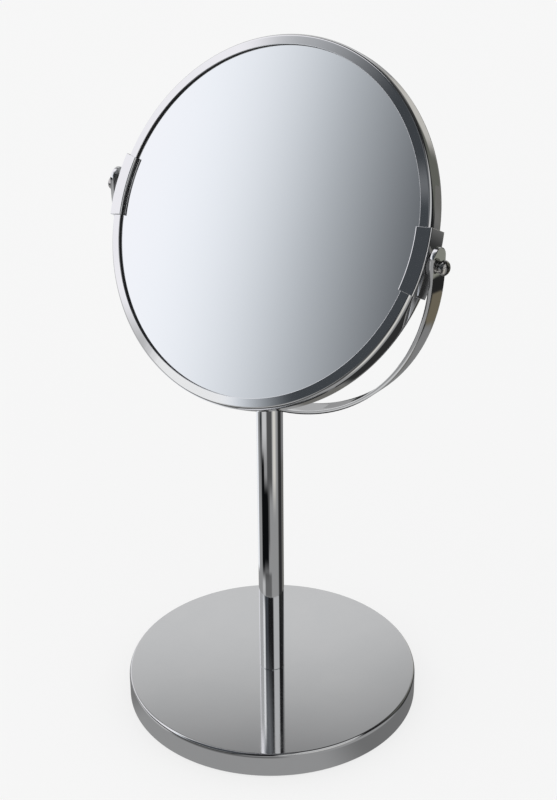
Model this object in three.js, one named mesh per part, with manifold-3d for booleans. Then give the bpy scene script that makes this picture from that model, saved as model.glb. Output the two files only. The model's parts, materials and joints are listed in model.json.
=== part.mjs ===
// Table mirror for shaving: a round double-sided mirror head that tilts in a
// half-ring yoke, on a slim post screwed to a round weighted base.
// Millimetres, +Z up. The origin is the middle of the underside of the base,
// the flat glass looks towards -Y, and the tilt axis runs along X.

import * as THREE from 'three';
import { mergeVertices } from 'three/addons/utils/BufferGeometryUtils.js';
import Module from 'manifold-3d';

const wasm = await Module();
wasm.setup();

// ---- Driving dimensions ----------------------------------------------------

const GAP = 0.3; // clearance kept between neighbouring solids

// base
const BASE_RADIUS = 73.5;
const BASE_HEIGHT = 13.4;
const BASE_FILLET = 2.2;
const SHELL_SHEET = 1.0;
const SHELL_LIFT = 0.6; // the pad lifts the hem of the shell off the table
const PAD_THICK = 2.6;
const PLATE_THICK = 1.6;
const WEIGHT_THICK = 6.8;
const ACCESS_RADIUS = 9.5; // opening under the base for the screwdriver

// post
const POST_RADIUS = 6.35;
const POST_WALL = 1.0;
const INSERT_LENGTH = 20;

// mirror head: radius measured from its own axis, depth from its middle plane
const PIVOT_HEIGHT = 255;
const REST_TILT = THREE.MathUtils.degToRad(27.6);
const RIM_RADIUS = 85;
const RIM_HALF_DEPTH = 5.14; // where the outer wall meets the sloping ring face
const LIP_RADIUS = 79.75;
const LIP_DEPTH = 6.05;
const RIM_SHEET = 0.7;
const SHOULDER_WIDTH = 1.6; // quarter ellipse between the ring face and the outer wall
const SHOULDER_DEPTH = 3.2;
const GLASS_RADIUS = 83.2;
const GLASS_THICK = 2.0;
const GLASS_FACE = 4.35; // depth of the flat glass and of the edge of the concave one
const CONCAVE_RADIUS = 1000; // radius of curvature of the magnifying glass
const SPACER_RADIUS = 80.2;
const SEAL_WIDTH = 1.2;

// yoke
const YOKE_INNER = 88.3;
const YOKE_STRIP = 1.8;
const YOKE_WIDTH = 9.8;
const YOKE_DROP = 0.8; // the bend's centre lies this far under the pivots
const EAR_RISE = 8.6; // top of each ear over the pivots

// saddle clips and pivots
const CLIP_SHEET = 1.0;
const CLIP_HALF_ANGLE = THREE.MathUtils.degToRad(10);
const CLIP_LIP_RADIUS = 78.9;
const SCREW_RADIUS = 1.5; // pivot screw shank
const DOME_RADIUS = 3.4;
const DOME_HEIGHT = 3.2;
const CUP_RADIUS = 2.7;
const CUP_THICK = 1.0;
const FRICTION_RADIUS = 4.8;

// how finely round pieces are faceted
const FACETS = { large: 60, medium: 40, small: 16 };

// ---- Finishes ---------------------------------------------------------------

const finish = (color, roughness, metalness) => () =>
  new THREE.MeshStandardMaterial({ color, roughness, metalness });
const chrome = finish(0xc9cbce, 0.06, 1);
const zincSteel = finish(0x9b9da0, 0.35, 1);
const castIron = finish(0x3c3c3e, 0.8, 0.6);
const blackRubber = finish(0x1c1c1e, 0.75, 0);
const greyPlastic = finish(0x55575a, 0.55, 0);
const silveredGlass = finish(0xdfe3e6, 0.02, 1);

// ---- Helpers ----------------------------------------------------------------

// A closed three.js geometry as a solid that can be cut and joined.
function solidOf(geometry) {
  const bare = geometry.index ? geometry.clone() : geometry;
  bare.deleteAttribute('normal');
  bare.deleteAttribute('uv');
  const merged = mergeVertices(bare, 1e-4);
  return new wasm.Manifold(
    new wasm.Mesh({
      numProp: 3,
      vertProperties: new Float32Array(merged.attributes.position.array),
      triVerts: new Uint32Array(merged.index.array),
    })
  );
}

function geometryOf(solid) {
  const mesh = solid.getMesh();
  const geometry = new THREE.BufferGeometry();
  geometry.setAttribute('position', new THREE.BufferAttribute(mesh.vertProperties, 3));
  geometry.setIndex(new THREE.BufferAttribute(mesh.triVerts, 1));
  geometry.computeVertexNormals();
  return geometry;
}

// Turns a closed section of [radius, height] points about the vertical axis.
// The points go round the section anticlockwise, with radius to the right.
function ring(section, facets = FACETS.large) {
  const points = [...section, section[0]].map(([r, h]) => new THREE.Vector2(r, h));
  return new THREE.LatheGeometry(points, facets).rotateX(Math.PI / 2);
}

// Turns a profile that starts and ends on the axis, from its bottom to its top.
function turned(profile, facets = FACETS.large) {
  const points = profile.map(([r, h]) => new THREE.Vector2(r, h));
  return new THREE.LatheGeometry(points, facets).rotateX(Math.PI / 2);
}

// A flat washer or tube standing on the vertical axis.
function washer(inner, outer, low, high, facets = FACETS.small) {
  return ring([[inner, low], [outer, low], [outer, high], [inner, high]], facets);
}

// A round cutting pin along X through the point x = from, to.
function pinAlongX(radius, from, to) {
  return new THREE.CylinderGeometry(radius, radius, to - from, FACETS.small)
    .rotateZ(Math.PI / 2)
    .translate((from + to) / 2, 0, 0);
}

function blockBetween([x0, y0, z0], [x1, y1, z1]) {
  return new THREE.BoxGeometry(x1 - x0, y1 - y0, z1 - z0)
    .translate((x0 + x1) / 2, (y0 + y1) / 2, (z0 + z1) / 2);
}

// Stands a piece turned about +Z on the +X end of the tilt axis.
const towardsX = (geometry) => geometry.rotateY(Math.PI / 2);

// Lays a piece turned about +Z so that +Z becomes the mirror's front, -Y.
const towardsFront = (geometry) => geometry.rotateX(Math.PI / 2);

function piece(name, geometry, material) {
  const mesh = new THREE.Mesh(geometry, material());
  mesh.name = name;
  return mesh;
}

// ---- Base -------------------------------------------------------------------

const plateBottom = PAD_THICK + GAP;
const plateTop = plateBottom + PLATE_THICK;
const weightTop = BASE_HEIGHT - SHELL_SHEET - GAP;
const weightBottom = weightTop - WEIGHT_THICK;
const shellInner = BASE_RADIUS - SHELL_SHEET;
const baseScrewRadius = 2.5;
const baseHole = baseScrewRadius + GAP;
const washerSeat = weightBottom + 3.2; // bottom of the weight's counterbore

function baseShell() {
  const bend = BASE_RADIUS - BASE_FILLET;
  const shoulder = BASE_HEIGHT - BASE_FILLET;
  const fillet = [0, 30, 60, 90].map((degrees) => {
    const a = THREE.MathUtils.degToRad(degrees);
    return [bend + BASE_FILLET * Math.cos(a), shoulder + BASE_FILLET * Math.sin(a)];
  });
  const innerFillet = BASE_FILLET - SHELL_SHEET;
  const inside = [90, 45, 0].map((degrees) => {
    const a = THREE.MathUtils.degToRad(degrees);
    return [bend + innerFillet * Math.cos(a), shoulder + innerFillet * Math.sin(a)];
  });
  return ring([
    [BASE_RADIUS, SHELL_LIFT],
    ...fillet,
    [baseHole, BASE_HEIGHT],
    [baseHole, BASE_HEIGHT - SHELL_SHEET],
    ...inside,
    [shellInner, SHELL_LIFT],
  ]);
}

// Cast disc with a counterbore for the screw and a bevelled upper edge.
function baseWeight() {
  const radius = shellInner - 2 * GAP;
  return ring([
    [ACCESS_RADIUS, weightBottom],
    [radius, weightBottom],
    [radius, weightTop - 1.6],
    [radius - 1.6, weightTop],
    [baseHole, weightTop],
    [baseHole, washerSeat],
    [ACCESS_RADIUS, washerSeat],
  ], FACETS.medium);
}

const basePlate = () =>
  washer(ACCESS_RADIUS, shellInner - GAP, plateBottom, plateTop, FACETS.medium);

const footPad = () => washer(ACCESS_RADIUS + 1, BASE_RADIUS - 3, 0, PAD_THICK, FACETS.medium);

// Pan-head screw from under the base up into the post.
const baseWasherThick = 1.0;
const baseScrewHead = washerSeat - GAP - baseWasherThick - GAP;

function baseScrew() {
  const tip = BASE_HEIGHT + 15;
  return turned([
    [0, baseScrewHead - 2.8],
    [3.6, baseScrewHead - 2.8],
    [4.6, baseScrewHead - 1.9],
    [4.6, baseScrewHead],
    [baseScrewRadius, baseScrewHead],
    [baseScrewRadius, tip - 1],
    [baseScrewRadius - 0.8, tip],
    [0, tip],
  ], FACETS.small);
}

const baseWasher = () =>
  washer(baseHole, 6.5, washerSeat - GAP - baseWasherThick, washerSeat - GAP);

// ---- Post -------------------------------------------------------------------

const yokeOuter = YOKE_INNER + YOKE_STRIP;
const yokeCentre = PIVOT_HEIGHT - YOKE_DROP;
const yokeUnderside = yokeCentre - yokeOuter;
const postBottom = BASE_HEIGHT + GAP;
const postTop = yokeUnderside - GAP;
const insertRadius = POST_RADIUS - POST_WALL - GAP;
const yokeScrewRadius = 2.0;

const postTube = () =>
  washer(POST_RADIUS - POST_WALL, POST_RADIUS, postBottom, postTop, 32);

// A threaded plug with a blind hole, open at its bottom end.
function plug(holeRadius, holeDepth) {
  return turned([
    [0, holeDepth],
    [holeRadius, holeDepth],
    [holeRadius, 0],
    [insertRadius, 0],
    [insertRadius, INSERT_LENGTH],
    [0, INSERT_LENGTH],
  ], FACETS.small);
}

// ---- Yoke -------------------------------------------------------------------

// A flat strip bent to a half ring, with straight ears whose ends are rounded.
function yoke() {
  const outline = new THREE.Shape();
  outline.moveTo(yokeOuter, YOKE_DROP + EAR_RISE);
  outline.lineTo(YOKE_INNER, YOKE_DROP + EAR_RISE);
  outline.absarc(0, 0, YOKE_INNER, 0, -Math.PI, true);
  outline.lineTo(-YOKE_INNER, YOKE_DROP + EAR_RISE);
  outline.lineTo(-yokeOuter, YOKE_DROP + EAR_RISE);
  outline.absarc(0, 0, yokeOuter, Math.PI, 2 * Math.PI, false);
  const strip = new THREE.ExtrudeGeometry(outline, {
    depth: YOKE_WIDTH,
    bevelEnabled: false,
    curveSegments: FACETS.medium,
  });
  strip.rotateX(Math.PI / 2).translate(0, YOKE_WIDTH / 2, yokeCentre);

  const half = YOKE_WIDTH / 2;
  const side = new THREE.Shape();
  side.moveTo(-half, 0);
  side.lineTo(half, 0);
  side.absarc(0, PIVOT_HEIGHT + EAR_RISE - half, half, 0, Math.PI, false);
  side.lineTo(-half, 0);
  const envelope = new THREE.ExtrudeGeometry(side, {
    depth: 2 * yokeOuter + 2,
    bevelEnabled: false,
    curveSegments: 8,
  });
  // the outline's x becomes Y, its y becomes Z, and its depth runs along X
  envelope.rotateX(Math.PI / 2).rotateZ(Math.PI / 2).translate(-yokeOuter - 1, 0, 0);

  const pivotHoles = pinAlongX(SCREW_RADIUS + GAP, -yokeOuter - 2, yokeOuter + 2)
    .translate(0, 0, PIVOT_HEIGHT);
  const screwHole = new THREE.CylinderGeometry(
    yokeScrewRadius + GAP, yokeScrewRadius + GAP, 8, FACETS.small
  ).rotateX(Math.PI / 2).translate(0, 0, yokeUnderside);
  return geometryOf(
    solidOf(strip)
      .intersect(solidOf(envelope))
      .subtract(solidOf(pivotHoles))
      .subtract(solidOf(screwHole))
  );
}

// Low-head screw from inside the yoke down into the post.
function yokeScrew() {
  const seat = yokeUnderside + YOKE_STRIP + GAP;
  return turned([
    [0, postTop - 14],
    [yokeScrewRadius - 0.7, postTop - 14],
    [yokeScrewRadius, postTop - 13],
    [yokeScrewRadius, seat],
    [3.9, seat],
    [3.9, seat + 1.1],
    [3.0, seat + 1.9],
    [0, seat + 1.9],
  ], FACETS.small);
}

// ---- Mirror head: made facing +Z round its own middle ------------------------

const ringSlope = (LIP_DEPTH - RIM_HALF_DEPTH) / (RIM_RADIUS - LIP_RADIUS);
const ringFace = (radius, proud = 0) =>
  RIM_HALF_DEPTH + (RIM_RADIUS - radius) * ringSlope + proud * Math.hypot(1, ringSlope);

// Half of a channel section from its outer wall to its lip, and its mirror image.
function mirrored(upperHalf) {
  const lowerHalf = upperHalf.map(([r, depth]) => [r, -depth]).reverse();
  return [...upperHalf, ...lowerHalf];
}

// One half of the rolled channel that holds both glasses.
function rimHalf() {
  const wall = RIM_RADIUS - RIM_SHEET;
  const bend = RIM_RADIUS - SHOULDER_WIDTH;
  const shoulder = [0, 30, 58, 85].map((degrees) => {
    const a = THREE.MathUtils.degToRad(degrees);
    return [
      bend + SHOULDER_WIDTH * Math.cos(a),
      ringFace(bend) - SHOULDER_DEPTH * (1 - Math.sin(a)),
    ];
  });
  const channel = ring(mirrored([
    ...shoulder,
    [LIP_RADIUS + 0.25, ringFace(LIP_RADIUS + 0.25)],
    [LIP_RADIUS, LIP_DEPTH - 0.25],
    [LIP_RADIUS, ringFace(LIP_RADIUS, -RIM_SHEET)],
    [bend - 0.1, ringFace(bend - 0.1, -RIM_SHEET)],
    [wall, ringFace(bend) - SHOULDER_DEPTH + 1],
  ]));
  const reach = RIM_RADIUS + 5;
  const upper = blockBetween([-reach, GAP / 2, -reach], [reach, reach, reach]);
  const pivots = pinAlongX(SCREW_RADIUS + GAP, -reach, reach);
  return geometryOf(
    solidOf(channel).intersect(solidOf(upper)).subtract(solidOf(pivots))
  );
}

// Sheet saddle wrapped over the rim at one end of the tilt axis.
function saddleClip() {
  const proud = GAP + CLIP_SHEET - 0.1;
  const outer = RIM_RADIUS + GAP + CLIP_SHEET;
  const inner = RIM_RADIUS + GAP;
  const hook = LIP_RADIUS - GAP;
  const hookDepth = 5.6;
  const saddle = ring(mirrored([
    [outer, ringFace(outer, proud) - 0.5],
    [outer - 0.5, ringFace(outer - 0.5, proud)],
    [CLIP_LIP_RADIUS + 0.5, ringFace(CLIP_LIP_RADIUS + 0.5, proud)],
    [CLIP_LIP_RADIUS, ringFace(CLIP_LIP_RADIUS, proud) - 0.5],
    [CLIP_LIP_RADIUS, hookDepth],
    [hook, hookDepth],
    [hook, ringFace(hook, GAP)],
    [inner, ringFace(inner, GAP)],
  ]), 2 * FACETS.large);
  const reach = 2 * RIM_RADIUS;
  const rise = reach * Math.tan(CLIP_HALF_ANGLE);
  const wedge = new THREE.ExtrudeGeometry(
    new THREE.Shape([
      new THREE.Vector2(0, 0),
      new THREE.Vector2(reach, -rise),
      new THREE.Vector2(reach, rise),
    ]),
    { depth: 40, bevelEnabled: false }
  ).translate(0, 0, -20);
  const pivot = pinAlongX(SCREW_RADIUS + GAP, RIM_RADIUS - 10, RIM_RADIUS + 10);
  return geometryOf(
    solidOf(saddle).intersect(solidOf(wedge)).subtract(solidOf(pivot))
  );
}

const flatGlass = () =>
  turned([
    [0, GLASS_FACE - GLASS_THICK],
    [GLASS_RADIUS, GLASS_FACE - GLASS_THICK],
    [GLASS_RADIUS, GLASS_FACE - 0.4],
    [GLASS_RADIUS - 0.4, GLASS_FACE],
    [0, GLASS_FACE],
  ], FACETS.large);

// The magnifying glass: a sheet of even thickness, its hollow side to the rear.
function concaveGlass() {
  const sag = (r) => (GLASS_RADIUS ** 2 - r ** 2) / (2 * CONCAVE_RADIUS);
  const radii = [0, 0.4, 0.7, 0.9, 1].map((part) => part * GLASS_RADIUS);
  const hollow = radii.map((r) => [r, -GLASS_FACE + sag(r)]);
  const back = radii.map((r) => [r, -GLASS_FACE + GLASS_THICK + sag(r)]).reverse();
  return turned([...hollow, ...back], FACETS.large);
}

// Wedge-shaped seal between the lip and the face of the glass.
function gasket() {
  const inner = LIP_RADIUS + 0.25;
  const outer = inner + SEAL_WIDTH;
  const low = GLASS_FACE + GAP;
  const top = (r) => ringFace(r, -RIM_SHEET - GAP);
  return ring([
    [inner, low],
    [outer, low],
    [outer, top(outer)],
    [inner, top(inner)],
  ], FACETS.large);
}

// Card ring that keeps the two glasses apart at their edge.
const mirrorSpacer = () =>
  washer(SPACER_RADIUS - 2.7, SPACER_RADIUS, -1.55, GLASS_FACE - GLASS_THICK - GAP, FACETS.medium);

// ---- Pivot hardware, placed along +X ------------------------------------------

const clipOuter = RIM_RADIUS + GAP + CLIP_SHEET;
const cupInner = yokeOuter + GAP;
const headSeat = cupInner + CUP_THICK + GAP;

// Domed cross-recess screw: its tip is held by the nut inside the rim.
function pivotScrew() {
  const arc = [0, 25, 50, 70].map((degrees) => {
    const a = THREE.MathUtils.degToRad(degrees);
    return [DOME_RADIUS * Math.cos(a), headSeat + 0.6 + (DOME_HEIGHT - 0.6) * Math.sin(a)];
  });
  const screw = towardsX(turned([
    [0, SPACER_RADIUS + 0.6],
    [SCREW_RADIUS, SPACER_RADIUS + 0.6],
    [SCREW_RADIUS, headSeat],
    [DOME_RADIUS, headSeat],
    ...arc,
    [0, headSeat + DOME_HEIGHT],
  ], FACETS.small));
  const recessFloor = headSeat + DOME_HEIGHT - 1.1;
  const tip = headSeat + DOME_HEIGHT + 1;
  const flat = blockBetween([recessFloor, -1.6, -0.35], [tip, 1.6, 0.35]);
  const upright = blockBetween([recessFloor, -0.35, -1.6], [tip, 0.35, 1.6]);
  return geometryOf(
    solidOf(screw).subtract(solidOf(flat)).subtract(solidOf(upright))
  );
}

const cupWasher = () =>
  towardsX(washer(SCREW_RADIUS + GAP, CUP_RADIUS, cupInner, cupInner + CUP_THICK));

const frictionWasher = () =>
  towardsX(washer(SCREW_RADIUS + GAP, FRICTION_RADIUS, clipOuter + GAP, YOKE_INNER - GAP));

// Small plate nut that sits between the edges of the two glasses.
function pivotNut() {
  const plate = blockBetween(
    [SPACER_RADIUS + GAP, -4, -1.9],
    [RIM_RADIUS - RIM_SHEET - GAP, 4, 1.9]
  );
  const hole = pinAlongX(SCREW_RADIUS + GAP, RIM_RADIUS - 10, RIM_RADIUS);
  return geometryOf(solidOf(plate).subtract(solidOf(hole)));
}

// ---- Assembly -----------------------------------------------------------------

const stand = new THREE.Group();
stand.add(piece('base_shell', baseShell(), chrome));
stand.add(piece('base_weight', baseWeight(), castIron));
stand.add(piece('base_plate', basePlate(), greyPlastic));
stand.add(piece('foot_pad', footPad(), blackRubber));
stand.add(piece('base_screw', baseScrew(), zincSteel));
stand.add(piece('base_washer', baseWasher(), zincSteel));
stand.add(piece('post_tube', postTube(), chrome));
stand.add(piece('yoke', yoke(), chrome));
stand.add(piece('yoke_screw', yokeScrew(), chrome));

const lowerInsert = piece('post_lower_insert', plug(baseScrewRadius + GAP, 16.5), zincSteel);
lowerInsert.position.z = postBottom;
stand.add(lowerInsert);

const upperInsert = piece('post_upper_insert', plug(yokeScrewRadius + GAP, 15), zincSteel);
upperInsert.position.z = postTop;
upperInsert.rotation.x = Math.PI;
stand.add(upperInsert);

const head = new THREE.Group();
head.position.z = PIVOT_HEIGHT;
head.rotation.x = -REST_TILT;
head.add(piece('front_mirror', towardsFront(flatGlass()), silveredGlass));
head.add(piece('rear_mirror', towardsFront(concaveGlass()), silveredGlass));
head.add(piece('mirror_spacer', towardsFront(mirrorSpacer()), greyPlastic));
head.add(piece('front_gasket', towardsFront(gasket()), blackRubber));
head.add(piece('rear_gasket', towardsFront(gasket()).rotateZ(Math.PI), blackRubber));
head.add(piece('rim_upper', towardsFront(rimHalf()), chrome));
head.add(piece('rim_lower', towardsFront(rimHalf()).rotateY(Math.PI), chrome));

for (const [side, turn] of [['right', 0], ['left', Math.PI]]) {
  const pivot = new THREE.Group();
  pivot.rotation.z = turn;
  pivot.add(piece(`${side}_clip`, towardsFront(saddleClip()), chrome));
  pivot.add(piece(`${side}_pivot_screw`, pivotScrew(), chrome));
  pivot.add(piece(`${side}_cup_washer`, cupWasher(), chrome));
  pivot.add(piece(`${side}_friction_washer`, frictionWasher(), blackRubber));
  pivot.add(piece(`${side}_pivot_nut`, towardsFront(pivotNut()), zincSteel));
  head.add(pivot);
}

const shavingMirror = new THREE.Group();
shavingMirror.add(stand, head);

export default shavingMirror;
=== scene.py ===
# %% [markdown]
# # A chromed shaving mirror, piece by piece
#
# The object is a round two-sided mirror head. It tilts in a half-ring yoke, and the yoke stands on
# a slim post with a weighted round base. Almost everything on it is chrome plate, so the lesson is
# about two things: making clean turned sheet-metal shapes with small true edge radii, and giving
# chrome something worth reflecting.
#
# The CAD model is the fixed frame. Each visible piece is made again here with a fine surface, in
# the place where the CAD says, and rides on the CAD body that it belongs to.

# %% Load the frame
import json
import math

import bmesh
import bpy
from mathutils import Matrix, Vector


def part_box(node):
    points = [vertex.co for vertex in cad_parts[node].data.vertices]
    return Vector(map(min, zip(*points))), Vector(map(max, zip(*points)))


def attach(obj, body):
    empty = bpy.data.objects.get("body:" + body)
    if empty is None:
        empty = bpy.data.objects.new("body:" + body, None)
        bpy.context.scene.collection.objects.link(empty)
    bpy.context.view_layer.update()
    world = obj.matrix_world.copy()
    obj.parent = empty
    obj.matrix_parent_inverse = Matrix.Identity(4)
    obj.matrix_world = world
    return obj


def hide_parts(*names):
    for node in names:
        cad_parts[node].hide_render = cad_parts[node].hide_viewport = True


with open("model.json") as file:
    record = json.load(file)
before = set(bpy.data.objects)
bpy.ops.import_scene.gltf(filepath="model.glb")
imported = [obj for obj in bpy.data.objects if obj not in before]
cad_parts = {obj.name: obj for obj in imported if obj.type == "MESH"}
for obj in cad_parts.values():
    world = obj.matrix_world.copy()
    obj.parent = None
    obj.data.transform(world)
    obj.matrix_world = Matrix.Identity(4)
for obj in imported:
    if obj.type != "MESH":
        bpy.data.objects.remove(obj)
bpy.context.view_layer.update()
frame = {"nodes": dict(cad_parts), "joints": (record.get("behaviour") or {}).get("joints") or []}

# %% [markdown]
# ## Measure the frame
#
# Sizes come from the CAD nodes, so nothing is fitted by eye. A turned part's radius and height are
# in its box. The head leans back at rest, so its lean is read from the flat glass: the average
# direction of the faces that look forward.

# %% Read the driving sizes
MM = 0.001
FACING_FRONT = -0.8

shell_low, shell_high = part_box("base_shell")
_, post_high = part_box("post_tube")
yoke_low, yoke_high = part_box("yoke")
pivot = Vector(frame["joints"][0]["pos_m"])

base_radius = shell_high.x
base_top = shell_high.z
post_radius = post_high.x
yoke_reach = yoke_high.x
yoke_width = yoke_high.y - yoke_low.y


def forward_normal(node):
    """The mean normal of the faces of a CAD node that look towards -Y and up."""
    total = Vector()
    for face in frame["nodes"][node].data.polygons:
        if face.normal.y < FACING_FRONT:
            total += face.normal * face.area
    return total.normalized()


glass_normal = forward_normal("front_mirror")
lean = math.atan2(glass_normal.z, -glass_normal.y)
print(f"base {2 * base_radius / MM:.0f} mm wide, post {2 * post_radius / MM:.1f} mm")
print(f"the head leans back {math.degrees(lean):.1f} degrees")

# %% [markdown]
# ## The camera
#
# It looks down at the mirror from the right. Its place is given as angles and a distance from a
# point on the post's axis, which is easier to read and change than a matrix. Three small turns
# then frame the object in the picture.

# %% Place the camera
CAMERA_AZIMUTH = math.radians(37.22)
CAMERA_ELEVATION = math.radians(25.92)
CAMERA_DISTANCE = 0.75593
CAMERA_TARGET = Vector((0, 0, 0.18))
CAMERA_YAW = math.radians(0.32)
CAMERA_PITCH = math.radians(-0.97)
CAMERA_ROLL = math.radians(-0.57)
LENS_MM = 72.34
SENSOR_MM = 36
NEAREST = 0.01


def camera_matrix():
    """The camera's place: a turntable view, then the small yaw, pitch and roll."""
    flat = math.cos(CAMERA_ELEVATION)
    away = Vector((
        math.sin(CAMERA_AZIMUTH) * flat,
        -math.cos(CAMERA_AZIMUTH) * flat,
        math.sin(CAMERA_ELEVATION),
    ))
    right = (-away).cross(Vector((0, 0, 1))).normalized()
    up = right.cross(-away)
    level = math.cos(CAMERA_PITCH)
    ahead = -away * math.cos(CAMERA_YAW) * level
    ahead += right * math.sin(CAMERA_YAW) * level + up * math.sin(CAMERA_PITCH)
    right = ahead.cross(up).normalized()
    up = right.cross(ahead)
    across = right * math.cos(CAMERA_ROLL) + up * math.sin(CAMERA_ROLL)
    upright = up * math.cos(CAMERA_ROLL) - right * math.sin(CAMERA_ROLL)
    turn = Matrix((across, upright, -ahead.normalized())).transposed()
    return Matrix.Translation(CAMERA_TARGET + away * CAMERA_DISTANCE) @ turn.to_4x4()


camera_data = bpy.data.cameras.new("camera")
camera_data.lens = LENS_MM
camera_data.sensor_width = SENSOR_MM
camera_data.clip_start = NEAREST
camera = bpy.data.objects.new("camera", camera_data)
bpy.context.scene.collection.objects.link(camera)
camera.matrix_world = camera_matrix()
bpy.context.scene.camera = camera
bpy.context.scene.view_settings.view_transform = "Standard"
print("camera at", [round(v, 3) for v in camera.location])

# %% [markdown]
# ## Turned shapes
#
# Nearly every piece is a section swung round an axis. Blender's Screw modifier and its Spin tool
# can do that, but a short function gives two things that they don't: an exact radius on every
# corner of the section, and rounded ends on a sector such as a clip. Chrome shows the edge radius
# as a bright line, so those radii decide how real it looks.
#
# `soften` replaces each corner of an outline by an arc. A point may carry its own radius. It also
# sets one more point on the flat, close to each end of the arc. Without it, smooth shading would
# bend the whole flat face a little, and a bent mirror shows at once.

# %% Round the corners of an outline
ARC_STEPS = 5
HOLDING = 0.25          # how far past an arc the next point lies, as a share of its radius
NEARLY_STRAIGHT = math.radians(179)
MOST_OF_SIDE = 0.4      # the share of a side that one arc may use
HOLDING_OF_SIDE = 0.05  # the share of a side that one holding point may use


def soften(outline, radius=0.0):
    """The outline with each corner replaced by an arc of its own radius, or of `radius`."""
    corners = [(Vector(p[:2]), p[2] if len(p) > 2 else radius) for p in outline]
    points = []
    for i, (corner, r) in enumerate(corners):
        before = corners[i - 1][0] - corner
        after = corners[(i + 1) % len(corners)][0] - corner
        opening = before.angle(after)
        if r <= 0 or opening > NEARLY_STRAIGHT:
            points.append(corner)
            continue
        shorter = min(before.length, after.length)
        reach = min(r / math.tan(opening / 2), MOST_OF_SIDE * shorter)
        r = reach * math.tan(opening / 2)
        holding = min(HOLDING * r, HOLDING_OF_SIDE * shorter)
        back, on = before.normalized(), after.normalized()
        middle = corner + (back + on).normalized() * (r / math.sin(opening / 2))
        first = corner + back * reach - middle
        turn = first.angle_signed(corner + on * reach - middle)
        points.append(corner + back * (reach + holding))
        for k in range(ARC_STEPS + 1):
            points.append(middle + Matrix.Rotation(-turn * k / ARC_STEPS, 2) @ first)
        points.append(corner + on * (reach + holding))
    return points


print("a softened square has", len(soften([(0, 0), (1, 0), (1, 1), (0, 1)], 0.2)), "points")

# %% [markdown]
# `turned` swings an outline of (radius, height) points, in millimetres, round the Z axis. The
# outline goes anticlockwise, so the faces point outwards. A part sweep is closed with a flat end
# face. `end_round` draws the outline in a little at each end, which rounds that edge too.

# %% Place the copies of an outline
END_STEPS = 4


def inset(points, depth):
    """The outline moved inwards by depth, square to its own edges."""
    moved = []
    for i, point in enumerate(points):
        ahead = (points[(i + 1) % len(points)] - points[i - 1]).normalized()
        moved.append(point + Vector((-ahead.y, ahead.x)) * depth)
    return moved


def stations(start, sweep, steps, end_round, radius):
    """(angle, inset depth) of each copy of the outline along the sweep."""
    turn = end_round / radius
    lead = []
    for k in range(END_STEPS if end_round else 0):
        quarter = math.pi / 2 * k / END_STEPS
        lead.append((turn * (1 - math.cos(quarter)), end_round * (1 - math.sin(quarter))))
    body = [(start + turn + (sweep - 2 * turn) * k / steps, 0.0) for k in range(steps + 1)]
    first = [(start + angle, depth) for angle, depth in lead]
    last = [(start + sweep - angle, depth) for angle, depth in reversed(lead)]
    return first + body + last


rounded = stations(0, math.pi / 2, steps=24, end_round=0.1, radius=10)
print("a quarter sweep in 24 steps has", len(rounded), "copies, with its rounded ends")

# %% [markdown]
# `finished` turns a bmesh into an object. It merges points that coincide, points the faces outwards,
# and shades the surface smooth except across edges sharper than `SHARP` degrees. A bmesh is quick to
# build in code, because faces are made straight from the points that belong together.

# %% Swing an outline round the axis
WELD = 1e-6
SHARP = 35


def finished(name, shape):
    """Makes a bmesh a linked object: merged, facing outwards, smooth but for its sharp edges."""
    bmesh.ops.remove_doubles(shape, verts=shape.verts, dist=WELD)
    bmesh.ops.recalc_face_normals(shape, faces=shape.faces)
    mesh = bpy.data.meshes.new(name)
    shape.to_mesh(mesh)
    shape.free()
    mesh.shade_smooth()
    mesh.set_sharp_from_angle(angle=math.radians(SHARP))
    piece = bpy.data.objects.new(name, mesh)
    bpy.context.scene.collection.objects.link(piece)
    return piece


def turned(name, outline, steps=192, start=0.0, sweep=360.0, end_round=0.0):
    """A mesh object: the outline (mm) swung round Z through sweep degrees."""
    points = [Vector(p) for p in outline]
    widest = max(p.x for p in points)
    full = sweep >= 360
    places = stations(math.radians(start), math.radians(sweep), steps, end_round, widest)
    if full:
        places.pop()
    shape = bmesh.new()
    rings = []
    for angle, depth in places:
        here = inset(points, depth) if depth else points
        across = Vector((math.cos(angle), math.sin(angle)))
        rings.append([
            shape.verts.new((*(MM * p.x * across), MM * p.y)) for p in here
        ])
    count = len(points)
    for i in range(len(rings) - (0 if full else 1)):
        here, there = rings[i], rings[(i + 1) % len(rings)]
        for j in range(count):
            k = (j + 1) % count
            if max(points[j].x, points[k].x) > 0:
                shape.faces.new((here[j], there[j], there[k], here[k]))
    if not full:
        shape.faces.new(rings[0])
        shape.faces.new(list(reversed(rings[-1])))
    return finished(name, shape)


def shape_report(piece):
    """Prints a piece's size and face count."""
    size = piece.dimensions / MM
    print(f"{piece.name}: {size.x:.1f} x {size.y:.1f} x {size.z:.1f} mm,",
          len(piece.data.polygons), "faces")


print("edges sharper than", SHARP, "degrees stay sharp")

# %% [markdown]
# Sheet that is rolled or pressed over an edge doesn't bend on a true arc. It leaves the wall slowly
# and turns in quickly at the top, so its section is close to a quarter ellipse, deeper than it is
# wide. The cup of the base and the rim of the mirror both have such an edge.

# %% A rolled edge
ROLL_STEPS = 14
ROLL_HOLDING = 0.25  # mm from an end of the edge to the point that holds the flat beside it


def rolled_edge(outer, width, depth, face, slope=0.0):
    """A quarter ellipse from the wall at `outer` to a face, which it meets at the face's slope."""
    bend = outer - width
    last = math.atan2(depth, slope * width)
    low = face(bend + width * math.cos(last)) - depth * math.sin(last)
    angles = [last * k / ROLL_STEPS for k in range(ROLL_STEPS + 1)]
    return [(bend + width * math.cos(a), low + depth * math.sin(a)) for a in angles]


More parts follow.
